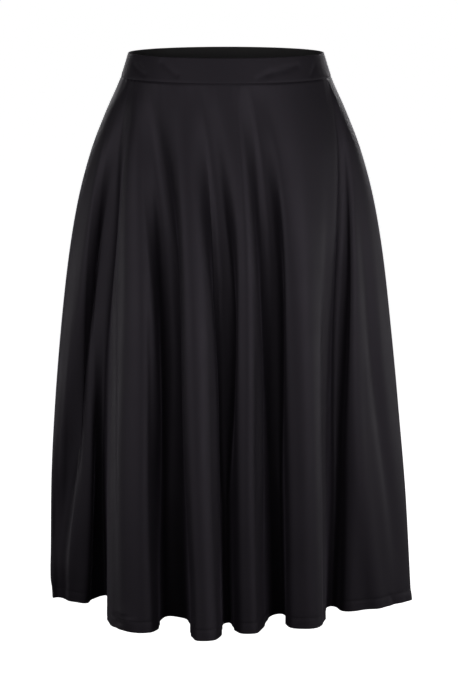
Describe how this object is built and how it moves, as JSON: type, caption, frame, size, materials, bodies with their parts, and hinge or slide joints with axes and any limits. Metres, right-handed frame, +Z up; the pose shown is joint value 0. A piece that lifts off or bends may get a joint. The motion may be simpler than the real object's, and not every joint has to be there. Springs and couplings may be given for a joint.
{
  "type": "maxi skirt",
  "caption": "Flared long skirt in smooth black cloth on a contoured waistband, filled out as worn, with deep soft folds down to a curved hem.",
  "frame": {"origin": "centre of the waist at half the waistband's height, where the wearer holds the skirt up", "axes": "+Z up along the body, -Y to the front of the skirt, +X to the wearer's left side"},
  "size_m": [0.579, 0.4389, 0.8731],
  "materials": {
    "skirt_cloth": "satin",
    "band_cloth": "satin"
  },
  "bodies": {
    "root": {"front_waistband": "band_cloth", "back_waistband": "band_cloth", "front_panel": "skirt_cloth", "back_panel": "skirt_cloth"}
  },
  "joints": []
}
